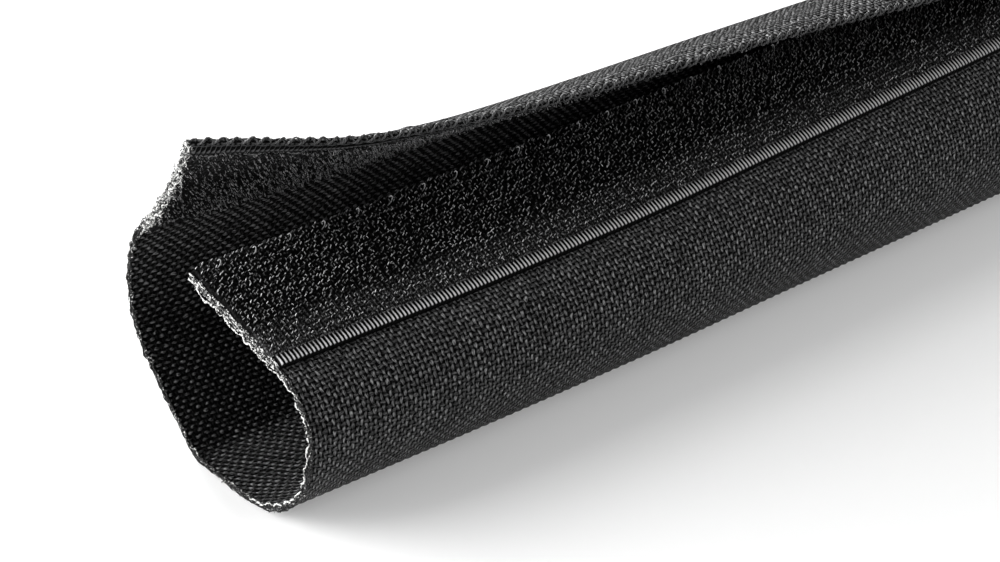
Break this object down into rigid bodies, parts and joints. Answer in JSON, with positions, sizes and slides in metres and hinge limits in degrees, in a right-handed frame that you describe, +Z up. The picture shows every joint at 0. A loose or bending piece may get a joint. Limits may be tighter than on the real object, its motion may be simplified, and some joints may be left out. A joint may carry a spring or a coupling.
{
  "type": "hook and loop cable sleeve",
  "caption": "Woven black cable sleeve with hook and loop tapes along its edges, its outer flap peeled open at one end.",
  "frame": {"origin": "the middle of the flat strip that the sleeve lies on, halfway along its length", "axes": "+X along the sleeve from the open mouth to the closed end, +Y across it towards the outer flap's side, +Z up"},
  "size_m": [0.19, 0.0325, 0.0386],
  "materials": {
    "sleeve_fabric": "plain-woven synthetic, matt with a slight sheen",
    "hook_tape": "woven nylon ground with moulded hooks",
    "loop_tape": "brushed loop pile",
    "seam_thread": "bonded thread",
    "overlock_thread": "spun thread"
  },
  "bodies": {
    "root": {"sleeve_fabric": "sleeve_fabric", "hook_tape": "hook_tape", "loop_tape": "loop_tape", "hook_tape_stitching_edge": "seam_thread", "hook_tape_stitching_selvage": "seam_thread", "loop_tape_stitching_inner": "seam_thread", "loop_tape_stitching_edge": "seam_thread", "overlock_edge_thread": "overlock_thread"}
  },
  "joints": []
}
